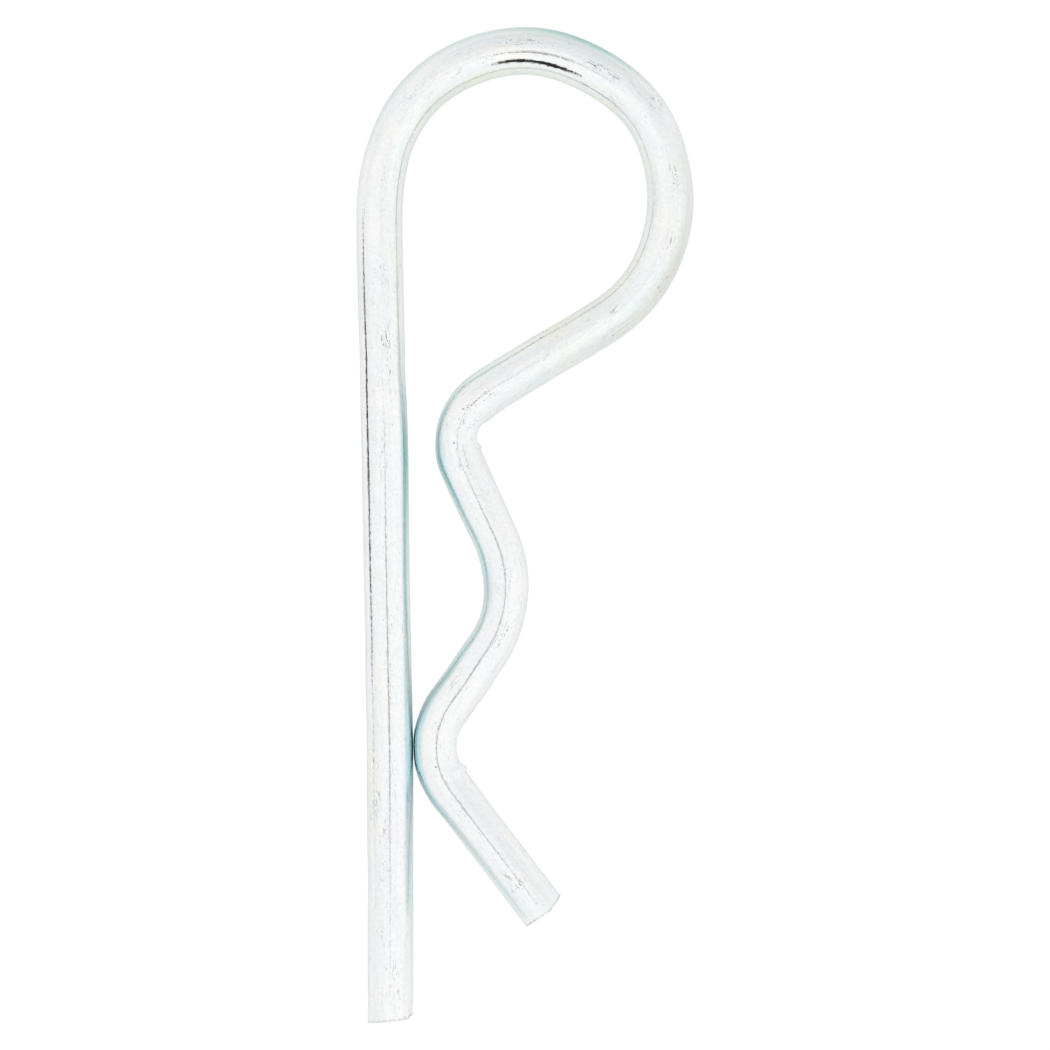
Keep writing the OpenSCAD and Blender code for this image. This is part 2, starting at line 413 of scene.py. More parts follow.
# %% [markdown]
# ## Film, painted shade and reflection, and wear, by place
#
# The passivation is a clear chromium film, thinner than a wavelength of light. The blue-green on the
# flanks where the clip's two legs face each other is painted shade and painted reflection: it stands for
# the shaded gap between the legs and the shade under the wire, as these flanks mirror them. The blue-green
# along the underside of the eye is painted shade too. The faint cream on the inside of the eye is a
# painted reflection of the floor, and the sea green on the outer edge of the eye is a painted reflection
# as well.
# The fine damage isn't even: clips knock together in the plating barrel, and they are marked most where
# they stand proudest. All of these could be painted into an image by hand. A table of soft strokes needs
# no image, and a stroke can be moved by changing a number. It has a place along the wire, a reach, an
# angle round the wire from the top (positive to the left, in degrees), a spread, and what it lays down.

# %% Helper for colours


def linear(hex_colour):
    """An sRGB hex colour as linear RGBA."""
    parts = [int(hex_colour[i : i + 2], 16) / 255 for i in (1, 3, 5)]
    return [p / 12.92 if p <= 0.04045 else ((p + 0.055) / 1.055) ** 2.4 for p in parts] + [1.0]


print("mid grey is", round(linear("#808080")[0], 3), "in linear light")

# %% Strokes of film, painted shade and painted reflection
# Teal, deep teal and pale teal lay down painted shade; sea green and cream lay down painted reflection
DEEP_TEAL_SHADE, TEAL_SHADE, PALE_TEAL_SHADE, SEA_GREEN_REFLECTION = "#84D2DA", "#A2DDE3", "#BEE9ED", "#A9CFCB"
CREAM_REFLECTION, STRAW, OLIVE_GREY = "#F5F7EC", "#F6F1DE", "#DBDED1"
FILM_SHADE_REFLECTION = [
    # Painted shade and reflection on the flanks where the two legs face each other
    (23.4, 8.0, -104, 24, PALE_TEAL_SHADE, 0.1),
    (23.4, 6.0, -71, 10, DEEP_TEAL_SHADE, 0.6),
    (22.0, 5.0, -52, 9, PALE_TEAL_SHADE, 0.4),
    (30.0, 7.0, -102, 20, PALE_TEAL_SHADE, 0.2),
    (47.5, 7.5, -100, 24, TEAL_SHADE, 0.7),
    (47.5, 6.5, -74, 11, TEAL_SHADE, 0.5),
    (36.0, 8.0, -100, 20, PALE_TEAL_SHADE, 0.35),
    (36.0, 9.0, -60, 6, TEAL_SHADE, 0.5),
    (11.0, 5.0, -90, 26, PALE_TEAL_SHADE, 0.5),
    (13.0, 5.0, -60, 10, PALE_TEAL_SHADE, 0.4),
    (141.5, 4.0, -98, 22, TEAL_SHADE, 0.55),
    (140.5, 4.0, -70, 12, TEAL_SHADE, 0.4),
    (137.0, 3.5, -84, 22, PALE_TEAL_SHADE, 0.4),
    (151.0, 9.0, -100, 22, PALE_TEAL_SHADE, 0.55),
    (151.0, 9.0, -60, 12, PALE_TEAL_SHADE, 0.5),
    (162.0, 4.5, -62, 10, PALE_TEAL_SHADE, 0.35),
    (168.0, 6.0, -52, 12, PALE_TEAL_SHADE, 0.25),
    (172.5, 4.0, -66, 10, PALE_TEAL_SHADE, 0.5),
    (179.0, 5.0, -98, 20, PALE_TEAL_SHADE, 0.3),
    (180.0, 4.0, -55, 10, PALE_TEAL_SHADE, 0.35),
    # Painted shade along the underside of the eye, which the facing flanks mirror as a dark line
    (95.0, 60.0, -150, 24, TEAL_SHADE, 0.9),
    # Painted reflection in sea green on the outer edge of the eye
    (83.0, 8.0, 66, 22, SEA_GREEN_REFLECTION, 0.3),
    (94.5, 5.5, 70, 28, SEA_GREEN_REFLECTION, 1.0),
    (126.0, 8.0, 46, 26, SEA_GREEN_REFLECTION, 0.2),
    (115.5, 8.0, 52, 26, OLIVE_GREY, 0.55),
    # Painted reflection of the floor in cream on the inside of the eye
    (84.0, 9.0, -62, 24, CREAM_REFLECTION, 0.9),
    (102.0, 9.0, -70, 20, CREAM_REFLECTION, 0.6),
    (123.0, 10.0, -62, 30, CREAM_REFLECTION, 1.0),
    (66.0, 8.0, -60, 40, CREAM_REFLECTION, 0.5),
    (107.5, 2.2, 34, 16, STRAW, 0.4),
    (20.0, 5.0, 58, 22, STRAW, 0.3),
    (64.5, 3.0, 72, 26, STRAW, 0.3),
    (118.5, 4.0, 58, 20, STRAW, 0.3),
]
print(len(FILM_SHADE_REFLECTION), "strokes of film")

# %% [markdown]
# Wear is drawn in the same way, and so are the places where the inner flank has rubbed until it is matt.
# A matt flank blurs what it mirrors, so no sharp image of the other leg shows in it.

# %% Strokes of wear and of rubbing
WEAR = [
    (2.0, 1.5, -14, 16, 0.8),
    (4.5, 2.5, -8, 12, 0.9),
    (11.0, 4.0, 14, 14, 0.5),
    (17.0, 5.0, 10, 22, 0.5),
    (20.5, 1.6, 30, 10, 0.7),
    (26.5, 1.6, 42, 14, 0.6),
    (29.0, 2.5, 0, 10, 0.7),
    (36.0, 2.2, -20, 14, 0.7),
    (46.5, 2.0, 4, 12, 0.4),
    (50.0, 1.6, -14, 12, 0.6),
    (52.5, 1.4, -34, 10, 0.8),
    (57.0, 2.2, -14, 16, 1.0),
    (63.5, 1.6, -8, 12, 0.6),
    (73.0, 2.0, -8, 12, 0.5),
    (79.0, 1.6, 10, 12, 0.5),
    (83.5, 1.5, -28, 10, 0.7),
    (89.0, 3.0, 16, 12, 0.8),
    (97.0, 1.8, 4, 10, 0.9),
    (101.8, 0.9, 40, 12, 1.0),
    (108.0, 1.8, 12, 10, 0.7),
    (115.5, 3.5, 28, 22, 0.6),
    (118.5, 2.5, 54, 16, 0.9),
    (122.5, 2.0, -2, 14, 0.9),
    (127.5, 1.2, -58, 12, 0.8),
    (134.0, 3.5, 4, 10, 0.9),
    (137.5, 2.0, 20, 30, 0.6),
    (141.0, 1.5, 2, 14, 0.9),
    (148.0, 4.0, 2, 12, 0.8),
    (155.5, 3.2, 24, 20, 0.9),
    (161.5, 1.8, -28, 14, 0.7),
    (170.0, 2.0, -4, 10, 0.7),
    (177.5, 4.0, -2, 12, 0.7),
    (181.5, 2.5, -8, 18, 0.8),
]
MATT = [
    (15.0, 6.5, -46, 9, 1.0),
    (109.0, 2.5, -44, 16, 1.0),
    (139.6, 1.2, -44, 16, 1.0),
    (153.2, 2.0, -44, 16, 1.0),
    (177.5, 6.5, -46, 9, 1.0),
]
print(len(WEAR), "strokes of wear,", len(MATT), "matt")

# %% [markdown]
# The shears have dragged the skin over each rim, so the plating is thin there and the grey-brown steel
# shows through. How far a vertex of the rim has turned towards the end says how much.

# %% Paint the film, the painted shade and reflection, and the wear
# A stroke counts for nothing further off than this many times its reach
STROKE_CUT = 2.5
LIP, LIP_SHARE = "#857B6E", 0.7
# The rim and the torn face lie this close to an end
RIM_REACH = 0.6
# How far the normal has turned towards the end where steel starts to show, and how quickly it comes
LIP_START, LIP_GAIN = 0.2, 1.6


def stroke_weight(along, angle, place, reach, centre, spread):
    """How strongly a stroke covers a point: 1 in its middle, falling away smoothly."""
    if abs(along - place) > STROKE_CUT * reach:
        return 0.0
    turn = (angle - centre + 180) % 360 - 180
    return math.exp(-(((along - place) / reach) ** 2) - (turn / spread) ** 2)


def strokes_at(strokes, along, angle):
    """How strongly all the strokes of a list cover a point, at most 1."""
    return min(1.0, sum(row[4] * stroke_weight(along, angle, *row[:4]) for row in strokes))


# This attribute holds the film's tint together with painted shade and painted reflection, and the steel at
# the rims
film = bm.verts.layers.float_vector.new("film_shade_reflection")
wear = bm.verts.layers.float.new("wear")
matt = bm.verts.layers.float.new("matt")
film_shade_reflection_strokes = [(stroke[:4], Vector(linear(stroke[4])[:3]), stroke[5]) for stroke in FILM_SHADE_REFLECTION]
lip_tint = Vector(linear(LIP)[:3])
bm.normal_update()
for vert in bm.verts:
    across = vert[straight]
    angle = math.degrees(math.atan2(-across.x, across.z))
    colour = Vector((1, 1, 1))
    for stroke, stroke_tint, strength in film_shade_reflection_strokes:
        colour = colour.lerp(stroke_tint, strength * stroke_weight(across.y, angle, *stroke))
    at_end = not RIM_REACH < across.y < WIRE_LENGTH - RIM_REACH
    lip = min(1.0, LIP_GAIN * max(0.0, abs(vert.normal.y) - LIP_START)) if at_end else 0.0
    vert[film] = colour.lerp(lip_tint, LIP_SHARE * lip)
    vert[wear] = strokes_at(WEAR, across.y, angle)
    vert[matt] = strokes_at(MATT, across.y, angle)
print("deepest film lets through", round(min(vert[film].x for vert in bm.verts), 3), "of the red light")

# %% [markdown]
# ## Bend it
#
# A Curve modifier could bend the wire along a curve, but the curve would only come close to the arcs of
# the bend table. So each vertex is carried to the same place across the wire, at the pose that the table
# gives for its place along the wire.

# %% Bend the wire


def pose_at(along):
    """The pose of the wire's axis at a distance from the foot."""
    pose = UP_THE_LEG
    for run, radius, angle in BENDS:
        if along <= run or not radius:
            return walk([(along, 0, 0)], pose)
        along -= run
        arc = radius * abs(math.radians(angle))
        if along <= arc:
            return walk([(run, radius, angle * along / arc)], pose)
        pose = walk([(run, radius, angle)], pose)
        along -= arc


def bent(point):
    """Where a point of the straight wire goes."""
    x, y, heading = pose_at(point.y)
    heading = math.radians(heading)
    return Vector((x + point.x * math.sin(heading), y - point.x * math.cos(heading), point.z))


for vert in bm.verts:
    vert.co = bent(vert.co)
print("bent wire spans x", [round(f(v.co.x for v in bm.verts), 2) for f in (min, max)])

# %% [markdown]
# ## Marks of the bending pegs
#
# Two small pegs have pressed flutes into the inside of the neck and of the nose. A Boolean could cut a
# flute, but a peg takes nothing off. So each flute is made as the peg made it: every vertex that is inside
# the peg is pushed out to its surface.

# %% Press in the pegs
NECK_PEG_R, NECK_MARK, NECK_MARK_AT = 1.4, 0.34, 0.555
NOSE_PEG_R, NOSE_MARK, NOSE_MARK_AT = 3.2, 0.34, 0.485


def bend_centre(row):
    """The centre that a left bend turns round, and the heading at which it starts."""
    x, y, heading = walk(BENDS[:row] + [(BENDS[row][0], 0, 0)])
    turn = math.radians(heading)
    radius = BENDS[row][1]
    return Vector((x - radius * math.sin(turn), y + radius * math.cos(turn), 0)), heading


def press_peg(bm, row, peg_r, depth, share):
    """Pushes the skin out of a peg that stands inside a left bend."""
    centre, heading = bend_centre(row)
    _, radius, angle = BENDS[row]
    heading = math.radians(heading + share * angle)
    reach = radius - WIRE_R + depth - peg_r
    peg = centre + reach * Vector((math.sin(heading), -math.cos(heading), 0))
    moved = 0
    for vert in bm.verts:
        away = Vector((vert.co.x - peg.x, vert.co.y - peg.y, 0))
        if away.length < peg_r:
            vert.co += away.normalized() * (peg_r - away.length)
            moved += 1
    return moved


print("neck mark:", press_peg(bm, NECK, NECK_PEG_R, NECK_MARK, NECK_MARK_AT), "vertices pressed in")
print("nose mark:", press_peg(bm, NOSE, NOSE_PEG_R, NOSE_MARK, NOSE_MARK_AT), "vertices pressed in")

# %% [markdown]
# Where the wire slid off each peg, the peg dragged up a short burr on the same side.

# %% Raise the burrs
# Where along the wire, how far the burr reaches, and its height
BURRS = [(140.0, 0.30, 0.15), (170.4, 0.46, 0.33)]
for vert in bm.verts:
    facing_left = max(0.0, -vert[straight].x / WIRE_R) ** 2
    along = vert[straight].y
    rise = sum(height * bell(along, place, reach) for place, reach, height in BURRS)
    turn = math.radians(pose_at(along)[2])
    vert.co += facing_left * rise * Vector((-math.sin(turn), math.cos(turn), 0))
print("burrs:", len(BURRS))

# %% [markdown]
# ## Into the frame
#
# So far the foot of the leg is at zero. The frame's box says where the clip lies: its middle is over
# the frame's origin. The wire's outermost lines follow from the table, and their middle goes there. The
# mesh's own box would be a poorer guide, because swells and burrs shift it.

# %% Place the clip and make its object
leg_top_x, _, leg_heading = walk([BENDS[0], (leg_run, 0, 0)])
entry_centre_x = leg_top_x + ENTRY_R * math.sin(math.radians(leg_heading))
eye_x, eye_y, eye_heading = walk(BENDS[:3])
eye_x += EYE_R * math.sin(math.radians(eye_heading))
eye_y -= EYE_R * math.cos(math.radians(eye_heading))
foot_y = WIRE_R * math.tan(math.radians(FOOT_SHEAR))
outline_low = Vector((entry_centre_x - ENTRY_R - WIRE_R, foot_y))
outline_high = Vector((eye_x + EYE_R + WIRE_R, eye_y + EYE_R + WIRE_R))
box_middle = (Vector(cad_box[0]) + Vector(cad_box[1])) / 2 / MM
place = box_middle.xy - (outline_low + outline_high) / 2
bmesh.ops.translate(bm, verts=bm.verts, vec=(place.x, place.y, 0))
bmesh.ops.scale(bm, verts=bm.verts, vec=(MM, MM, MM))

SHARP_ANGLE = 38
mesh = bpy.data.meshes.new("bent_wire")
bm.to_mesh(mesh)
bm.free()
mesh.shade_smooth()
mesh.set_sharp_from_angle(angle=math.radians(SHARP_ANGLE))
clip = bpy.data.objects.new("bent_wire", mesh)
bpy.context.scene.collection.objects.link(clip)
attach(clip, "root")
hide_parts("clip_wire")
print("clip placed by", [round(v, 3) for v in place], "mm;", len(mesh.polygons), "faces")

# %% [markdown]
# ## The finish
#
# Bright zinc plating with a clear blue passivation over drawn steel. Zinc is a bluish white metal, and
# the passivation is a film thinner than a wavelength of light, which tints it faintly: mostly blue,
# with patches of cream and pink. Seen at a glancing angle it turns a trace greener.

# %% Helper for nodes


def add(tree, kind, inputs=(), **settings):
    """Adds a node, sets its properties, and sets or links its inputs by name or number.

    A node given as an input stands for its first output.
    """
    node = tree.nodes.new("ShaderNode" + kind)
    for name, value in settings.items():
        setattr(node, name, value)
    for key, value in dict(inputs).items():
        if isinstance(value, bpy.types.Node):
            value = value.outputs[0]
        if isinstance(value, bpy.types.NodeSocket):
            tree.links.new(value, node.inputs[key])
        else:
            node.inputs[key].default_value = value
    return node


# Numbers of the sockets of a Mix node for colours, and of a Map Range node
COLOUR_A, COLOUR_B, MIXED = 6, 7, 2
VALUE, FROM_MIN, FROM_MAX, TO_MIN, TO_MAX = range(5)
print("nodes are added by one helper")

# %% Zinc plating with blue passivation
zinc = bpy.data.materials.new("zinc_plating_blue_passivated")
zinc.use_nodes = True
tree = zinc.node_tree
shader = tree.nodes["Principled BSDF"]
shader.inputs["Metallic"].default_value = 1.0
shader.inputs["Specular Tint"].default_value = linear("#F3F7F7")
skin = add(tree, "Attribute", attribute_name="straight_wire").outputs["Vector"]
# This attribute brings in the film's tint with its painted shade and painted reflection
film_shade_reflection_paint = add(tree, "Attribute", attribute_name="film_shade_reflection").outputs["Color"]
wear_paint = add(tree, "Attribute", attribute_name="wear").outputs["Fac"]
matt_paint = add(tree, "Attribute", attribute_name="matt").outputs["Fac"]
print("the material reads", [n.attribute_name for n in tree.nodes if n.type == "ATTRIBUTE"])

# %% [markdown]
# A plated wire shows several things at once, each at its own scale. The drawing die leaves lines a few
# hundredths of a millimetre apart along the wire. They are too fine to show, so here they are 0.15 mm
# apart. The film drifts between cream, blue and pink over a millimetre or two across the wire and
# several along it, and it has fine streaks and a faint frost of zinc crystals. Bending wrinkles the skin.
# And handling leaves short dark scores and small dents, in clusters where the wear was painted.
#
# An image of real wire would have to be unwrapped, and it would repeat. So each is a noise on the straight
# wire, which does neither, with its grain given in millimetres across and along.

# %% Patterns on the straight wire
LINE_SIZE, DRIFT_SIZE, WRINKLE_SIZE = (0.15, 11.0), (1.3, 5.0), (0.30, 0.45)
SCORE_SIZE, DENT_SIZE, CLUSTER_SIZE = (0.10, 1.0), (0.16, 0.24), (0.9, 2.2)
STREAK_SIZE, FROST_SIZE = (0.30, 6.0), (0.24, 0.36)
SMOOTH = {"interpolation_type": "SMOOTHSTEP"}


def pattern(size, detail, carried=None, distortion=0.0):
    """Noise on the straight wire, with its grain across and along it in millimetres.

    Carried is low, high, to_low and to_high: what lies in low..high goes smoothly to to_low..to_high.
    """
    across, along = size
    grid = add(tree, "Mapping", {"Vector": skin, "Scale": (1 / across, 1 / along, 1 / across)})
    inputs = {"Vector": grid, "Scale": 1.0, "Detail": detail, "Roughness": 0.55}
    grain = add(tree, "TexNoise", {**inputs, "Distortion": distortion})
    if carried is None:
        return grain
    return add(tree, "MapRange", {VALUE: grain, **dict(enumerate(carried, FROM_MIN))}, **SMOOTH)


print("film drifts over", DRIFT_SIZE, "mm; scores are", SCORE_SIZE, "mm")

# %% Colour of the film
drift = add(tree, "ValToRGB", {"Fac": pattern(DRIFT_SIZE, 2.0, distortion=0.6)})
ramp = drift.color_ramp.elements
ramp[0].position, ramp[0].color = 0.34, linear("#F9F9F7")
ramp[1].position, ramp[1].color = 0.70, linear("#F8F7F9")
for position, colour in ((0.45, "#F7F9F8"), (0.54, "#F4F8F9"), (0.62, "#F2F7FA")):
    stop = ramp.new(position)
    stop.color = linear(colour)
# The strokes multiply in here: the film's tint, painted shade and painted reflection
painted = add(
    tree,
    "Mix",
    {"Factor": 1.0, COLOUR_A: drift, COLOUR_B: film_shade_reflection_paint},
    data_type="RGBA",
    blend_type="MULTIPLY",
).outputs[MIXED]
streaks = pattern(STREAK_SIZE, 3.0, (0.42, 0.72, 1.0, 0.96))
frost = pattern(FROST_SIZE, 2.0, (0.35, 0.65, 0.975, 1.02))
dimming = add(tree, "Math", {0: streaks, 1: frost}, operation="MULTIPLY")
plating = add(tree, "VectorMath", {0: painted, "Scale": dimming}, operation="SCALE")
print("the film has", len(ramp), "tints")

# %% [markdown]
# Scores and dents only show where the wear says so, and in small clusters everywhere else. The wear and
# a coarse noise are added up, and a second one breaks them, so that no cluster has a plain edge. The
# plating also has a few pin holes, which are round and have to stand at their own places, so each is
# the distance from a point on the straight wire.

# %% Scores, dents and pin holes
scores = pattern(SCORE_SIZE, 2.0, (0.59, 0.69, 0.0, 1.0))
dents = pattern(DENT_SIZE, 2.0, (0.60, 0.70, 0.0, 1.0))
cluster = pattern(CLUSTER_SIZE, 2.0, (0.5, 0.66, 0.0, 1.0))
# How strongly a cluster marks the wire where no wear is painted
CLUSTER_SHARE = 0.3
marked = add(tree, "Math", {0: cluster, 1: CLUSTER_SHARE, 2: wear_paint}, operation="MULTIPLY_ADD")
broken = pattern(CLUSTER_SIZE, 4.0, (0.42, 0.58, 0.1, 1.0))
marked = add(tree, "Math", {0: marked, 1: broken}, operation="MULTIPLY")
marks = add(tree, "Math", {0: scores, 1: dents}, operation="MAXIMUM")
marks = add(tree, "Math", {0: marks, 1: marked}, operation="MULTIPLY")

# Each pin hole's place along the wire, and its angle from the top in degrees
PIN_HOLES = [(0.46, -42), (125.3, -50), (127.8, -50), (136.6, -7), (139.5, -6), (169.4, -7)]
PIN_HOLE_R = 0.07
# A hole is deeper than any score, and its edge slopes between these shares of its radius
HOLE_DEPTH, HOLE_EDGE = 1.6, (0.5, 1.3)
inner, outer = (share * PIN_HOLE_R for share in HOLE_EDGE)
for along, angle in PIN_HOLES:
    turn = math.radians(angle)
    hole = (-WIRE_R * math.sin(turn), along, WIRE_R * math.cos(turn))
    away = add(tree, "VectorMath", {0: skin, 1: hole}, operation="DISTANCE").outputs["Value"]
    inputs = {VALUE: away, FROM_MIN: inner, FROM_MAX: outer, TO_MIN: HOLE_DEPTH, TO_MAX: 0.0}
    pit = add(tree, "MapRange", inputs, **SMOOTH)
    marks = add(tree, "Math", {0: marks, 1: pit}, operation="MAXIMUM")
print("pin holes:", len(PIN_HOLES))

# %% [markdown]
# The shears leave a thin line along each cut, where the dragged skin has lost some of its plating. The
# planes that made the cuts are still known, so the line is where the straight wire comes close to one of
# them: a dot product gives the distance. The noise breaks the line up.

# %% Thin lines along the cuts
# The line's width, how much steel shows in it, and the shares of its width where it fades out
LIP_LINE, LIP_LINE_SHARE, LIP_LINE_EDGE = 0.20, 0.22, (0.6, 1.2)
inner, outer = (share * LIP_LINE for share in LIP_LINE_EDGE)
lips = 0.0
for point, outward in cut_planes:
    beyond = outward.dot(point - Vector((0, 0, WIRE_R)))
    inward = add(tree, "VectorMath", {0: skin, 1: -outward}, operation="DOT_PRODUCT").outputs["Value"]
    away = add(tree, "Math", {0: inward, 1: beyond}, operation="ADD")
    inputs = {VALUE: away, FROM_MIN: inner, FROM_MAX: outer, TO_MIN: LIP_LINE_SHARE, TO_MAX: 0.0}
    line = add(tree, "MapRange", inputs, **SMOOTH)
    lips = add(tree, "Math", {0: lips, 1: line}, operation="MAXIMUM")
patchy = pattern(DENT_SIZE, 2.0, (0.4, 0.6, 0.4, 1.6))
lips = add(tree, "Math", {0: lips, 1: patchy}, operation="MULTIPLY")
inputs = {"Factor": lips, COLOUR_A: plating, COLOUR_B: linear(LIP)}
plating = add(tree, "Mix", inputs, data_type="RGBA").outputs[MIXED]

SCORE_COLOUR = "#8E9392"
inputs = {"Factor": marks, COLOUR_A: plating, COLOUR_B: linear(SCORE_COLOUR)}
plating = add(tree, "Mix", inputs, data_type="RGBA").outputs[MIXED]
tree.links.new(plating, shader.inputs["Base Color"])
print("lines along", len(cut_planes), "cuts")

# %% [markdown]
# Bright plating has a roughness of about 0.1. Marks and rubbed places scatter more light. The relief is
# far too shallow to model: its full range is a few thousandths of a millimetre, which is enough to make
# the mirrored lines tremble.

# %% Roughness and relief
HAZE = (0.075, 0.12)
# What a full mark or a full rub adds to the roughness
ROUGHER = 0.3
haze = pattern(DRIFT_SIZE, 3.0, (0.4, 0.65, *HAZE))
rubbed = add(tree, "Math", {0: matt_paint, 1: ROUGHER, 2: haze}, operation="MULTIPLY_ADD")
rough = add(tree, "Math", {0: marks, 1: ROUGHER, 2: rubbed}, operation="MULTIPLY_ADD")
tree.links.new(rough.outputs[0], shader.inputs["Roughness"])

# The share of the relief that each pattern has, and the height of the whole in millimetres
LINE_SHARE, WRINKLE_SHARE, MARK_SHARE = 0.45, 1.7, -0.9
RELIEF = 0.006
lines, wrinkles = pattern(LINE_SIZE, 2.0), pattern(WRINKLE_SIZE, 2.0)
relief = add(tree, "Math", {0: lines, 1: LINE_SHARE}, operation="MULTIPLY")
relief = add(tree, "Math", {0: wrinkles, 1: WRINKLE_SHARE, 2: relief}, operation="MULTIPLY_ADD")
relief = add(tree, "Math", {0: marks, 1: MARK_SHARE, 2: relief}, operation="MULTIPLY_ADD")
bump = add(tree, "Bump", {"Strength": 1.0, "Distance": RELIEF * MM, "Height": relief})
tree.links.new(bump.outputs[0], shader.inputs["Normal"])
clip.data.materials.append(zinc)
print("relief", RELIEF, "mm, roughness", HAZE)

# %% [markdown]
# ## Floor, light and camera
#
# The floor is white paper that keeps the clip's shadow. Rays from the camera, mirror rays and rays
# through glass see it glow as well, so that the ground is white without more light on the clip.
#
# Under the wire and between its legs the paper lies in their shade, and polished wire shows that shade
# as dark flanks. So mirror rays see less glow where an Ambient Occlusion node finds the clip close by.

# %% Floor
# Half the floor's width, in metres
FLOOR_HALF = 1.5
floor_bm = bmesh.new()
bmesh.ops.create_grid(floor_bm, x_segments=1, y_segments=1, size=FLOOR_HALF)
floor_mesh = bpy.data.meshes.new("floor")
floor_bm.to_mesh(floor_mesh)
floor_bm.free()
floor = bpy.data.objects.new("floor", floor_mesh)
bpy.context.scene.collection.objects.link(floor)

PAPER, WHITE, GLOW = "#F6F6F4", "#FFFFFF", 1.05
# How much of the glow the camera sees, and what lies behind glass
CAMERA_SHARE, GLASS_SHARE = 0.9, 0.45
# What mirror rays see of the glow in the deepest shade and in the open, and how far shade reaches
SHADED_SHARE, OPEN_SHARE, SHADE_REACH = 0.24, 0.5, 6.0
paper = bpy.data.materials.new("white_paper")
paper.use_nodes = True
tree = paper.node_tree
tree.nodes.clear()
rays = add(tree, "LightPath").outputs
shade = add(tree, "AmbientOcclusion", {"Distance": SHADE_REACH * MM}, samples=4).outputs["AO"]
inputs = {VALUE: shade, FROM_MIN: 0.2, FROM_MAX: 0.9, TO_MIN: SHADED_SHARE, TO_MAX: OPEN_SHARE}
mirror_share = add(tree, "MapRange", inputs, **SMOOTH)
share = add(tree, "Math", {0: rays["Is Glossy Ray"], 1: mirror_share}, operation="MULTIPLY")
for ray, seen in (("Is Camera Ray", CAMERA_SHARE), ("Is Transmission Ray", GLASS_SHARE)):
    share = add(tree, "Math", {0: rays[ray], 1: seen, 2: share}, operation="MULTIPLY_ADD")
lit = add(tree, "BsdfDiffuse", {"Color": linear(PAPER)})
glow = add(tree, "Emission", {"Color": linear(WHITE), "Strength": GLOW})
mixed = add(tree, "MixShader", {0: share, 1: lit, 2: glow})
add(tree, "OutputMaterial", {"Surface": mixed})
floor.data.materials.append(paper)
print("shade reaches", SHADE_REACH, "mm from the wire")

# %% [markdown]
# The wire is a mirror that looks all round the studio. Its crown mirrors what hangs straight above: the
# dark front of the camera's rig, as a thin broken line. Its flank mirrors the dark slot where the tent
# meets the table, and the table's shine doubles that slot. The rig and the shine are oval cards that
# only mirror rays see.

# %% Dark cards


def dark_card(name, middle, half_sizes, darkness, core):
    """A flat oval card that only shows in mirrors. Its middle and half sizes are in metres.

    Darkness is what it takes from the light. Its core, a share of its size, is even. The rest fades out.
    """
    card_bm = bmesh.new()
    bmesh.ops.create_circle(card_bm, cap_ends=True, segments=64, radius=1.0)
    bmesh.ops.scale(card_bm, verts=card_bm.verts, vec=(*half_sizes, 1.0))
    bmesh.ops.translate(card_bm, verts=card_bm.verts, vec=middle)
    card_mesh = bpy.data.meshes.new(name)
    card_bm.to_mesh(card_mesh)
    card_bm.free()
    card = bpy.data.objects.new(name, card_mesh)
    bpy.context.scene.collection.objects.link(card)
    card.visible_camera = card.visible_diffuse = False
    card.visible_transmission = card.visible_shadow = False

    felt = bpy.data.materials.new(name + "_felt")
    felt.use_nodes = True
    tree = felt.node_tree
    tree.nodes.clear()
    place = add(tree, "TexCoord").outputs["Object"]
    inputs = {"Vector": place, "Location": middle, "Scale": (*half_sizes, 1.0)}
    local = add(tree, "Mapping", inputs, vector_type="TEXTURE")
    far = add(tree, "VectorMath", {0: local}, operation="LENGTH").outputs["Value"]
    inputs = {VALUE: far, FROM_MIN: core, FROM_MAX: 1.0, TO_MIN: 1.0 - darkness, TO_MAX: 1.0}
    light = add(tree, "MapRange", inputs, **SMOOTH)
    glow = add(tree, "Emission", {"Color": linear(WHITE), "Strength": light})
    add(tree, "OutputMaterial", {"Surface": glow})
    card.data.materials.append(felt)
    return card


cards = [
    dark_card("camera_rig", (-0.010, -0.027, 0.410), (0.038, 0.058), 0.55, 0.3),
    dark_card("slot_shine", (-0.155, 0.0065, 0.0002), (0.120, 0.034), 1.0, 0.8),
]
print("cards that only mirrors see:", [card.name for card in cards])

# %% [markdown]
# The light is a tent of white cloth, nearly even and a touch brighter overhead. It could be a dome with
# lamps outside, but the world gives the same light with no mesh and less noise. Four things in it are
# darker: the opening at its front, which the top of the eye mirrors as a black crescent, the slot where
# the cloth meets the table on the left, and two broad, faint ones, where the cloth hangs further from the
# lamps. Each is an oval patch of the world, given by a direction and half sizes in degrees. The opening
# and the slot have corners, and squaring the coordinates before they are added up makes an oval
# squarish.

# %% Tent
world = bpy.data.worlds.new("light_tent")
world.use_nodes = True
bpy.context.scene.world = world
tree = world.node_tree
tree.nodes.clear()
rays = add(tree, "LightPath").outputs
direction = add(tree, "TexCoord").outputs["Generated"]


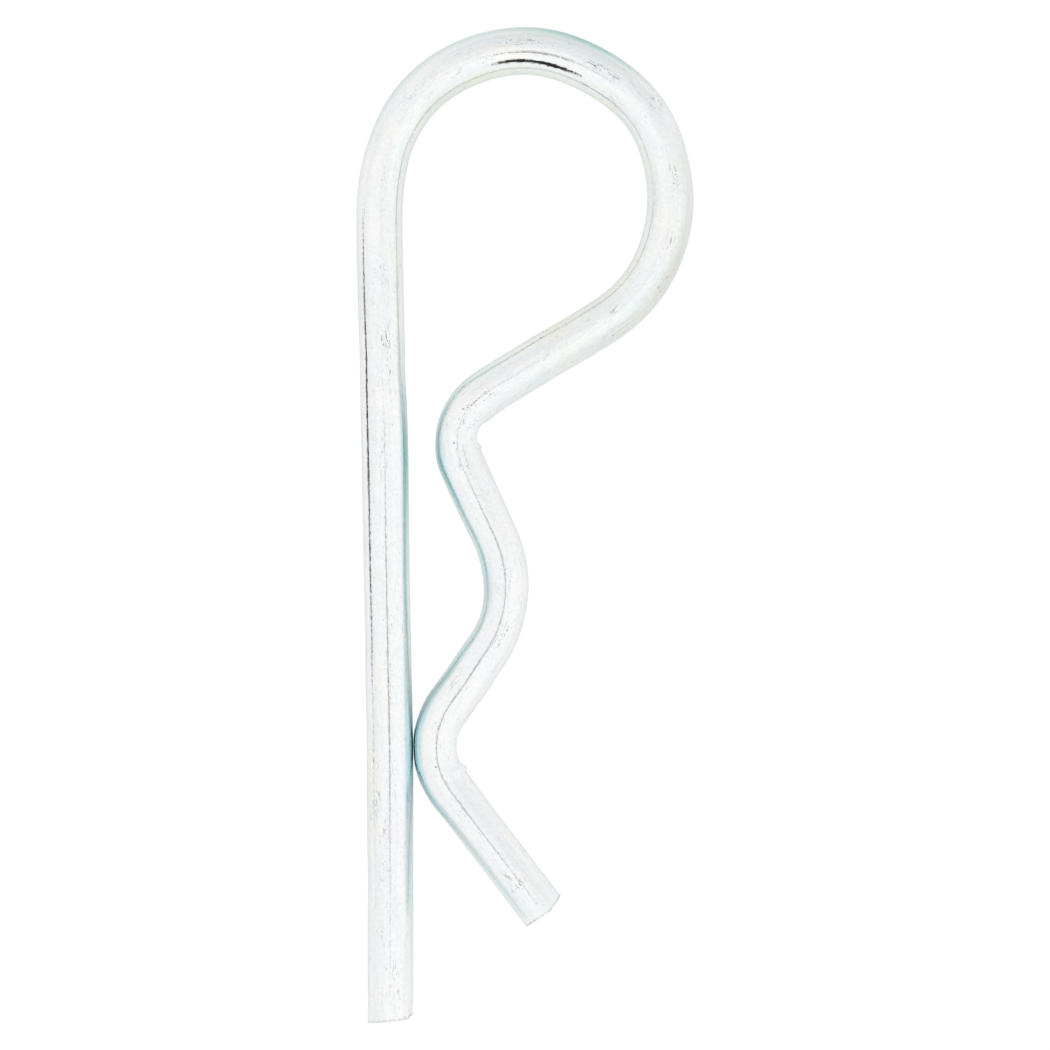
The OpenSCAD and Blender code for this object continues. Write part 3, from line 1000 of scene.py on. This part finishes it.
def dark_patch(towards, upright, half_sizes, edge=0.25, squarish=False):
    """1 inside a patch of the tent, 0 outside. Half sizes are in degrees, across and upright."""
    towards = Vector(towards).normalized()
    upright = (Vector(upright) - towards * towards.dot(Vector(upright))).normalized()
    turn = Matrix((upright.cross(towards), upright, towards)).transposed().to_euler()
    scale = [math.sin(math.radians(half)) for half in half_sizes] + [1.0]
    inputs = {"Vector": direction, "Location": towards, "Rotation": turn, "Scale": scale}
    local = add(tree, "Mapping", inputs, vector_type="TEXTURE")
    if squarish:
        local = add(tree, "VectorMath", {0: local, 1: local}, operation="MULTIPLY")
    far = add(tree, "VectorMath", {0: local}, operation="LENGTH").outputs["Value"]
    inputs = {VALUE: far, FROM_MIN: 1 + edge, FROM_MAX: 1 - edge, TO_MIN: 0.0, TO_MAX: 1.0}
    return add(tree, "MapRange", inputs, **SMOOTH)


def around(azimuth, elevation):
    """The direction at an azimuth from +X and an elevation."""
    azimuth, elevation = math.radians(azimuth), math.radians(elevation)
    level = math.cos(elevation)
    return level * math.cos(azimuth), level * math.sin(azimuth), math.sin(elevation)


UP = (0, 0, 1)
# The opening leans to the left
LEANING = (-0.30, 0, 1)
# The mask of each dark thing in the tent, and how much light it takes away
patches = [
    (dark_patch(around(-97, 36), LEANING, (17, 8.5), squarish=True), 0.98),
    (dark_patch(around(179.65, 0), UP, (2.75, 5.6), edge=0.12, squarish=True), 1.0),
    (dark_patch(around(75, 35), UP, (40, 45), edge=0.5), 0.15),
    (dark_patch(around(180, 20), UP, (75, 45), edge=0.8), 0.06),
]
# The cloth's light at the table and overhead, and how high it stops getting brighter
LOW_LIGHT, HIGH_LIGHT, EVEN_ABOVE = 0.985, 1.03, 0.75
height = add(tree, "SeparateXYZ", {"Vector": direction}).outputs["Z"]
inputs = {VALUE: height, FROM_MIN: 0.0, FROM_MAX: EVEN_ABOVE, TO_MIN: LOW_LIGHT, TO_MAX: HIGH_LIGHT}
light = add(tree, "MapRange", inputs, **SMOOTH)
for mask, depth in patches:
    kept = add(tree, "MapRange", {VALUE: mask, TO_MIN: 1.0, TO_MAX: 1.0 - depth})
    light = add(tree, "Math", {0: light, 1: kept}, operation="MULTIPLY")
tent = add(tree, "Background", {"Color": linear(WHITE), "Strength": light})
white = add(tree, "Background", {"Color": linear(WHITE), "Strength": 1.0})
mixed = add(tree, "MixShader", {0: rays["Is Camera Ray"], 1: tent, 2: white})
add(tree, "OutputWorld", {"Surface": mixed})
print("dark things in the tent:", len(patches))

# %% [markdown]
# The camera looks straight down on the clip from 0.4 m above its middle plane, which is near enough to
# show a little of the wire's perspective. The lens follows from the width that the view has to take in at
# that distance.

# %% Camera
CAMERA_HEIGHT = 0.400
FIELD = 0.0899
SENSOR = 36.0
# The axis of the lens passes this close to the frame's origin
AIM = (0.000027, 0.000009)
camera_data = bpy.data.cameras.new("camera")
camera_data.sensor_width = SENSOR
camera_data.lens = SENSOR * CAMERA_HEIGHT / FIELD
camera_data.clip_start = 0.01
camera = bpy.data.objects.new("camera", camera_data)
camera.location = (*AIM, CAMERA_HEIGHT + WIRE_R * MM)
bpy.context.scene.collection.objects.link(camera)
bpy.context.scene.camera = camera
bpy.context.scene.view_settings.view_transform = "Standard"
print("lens", round(camera_data.lens, 1), "mm")
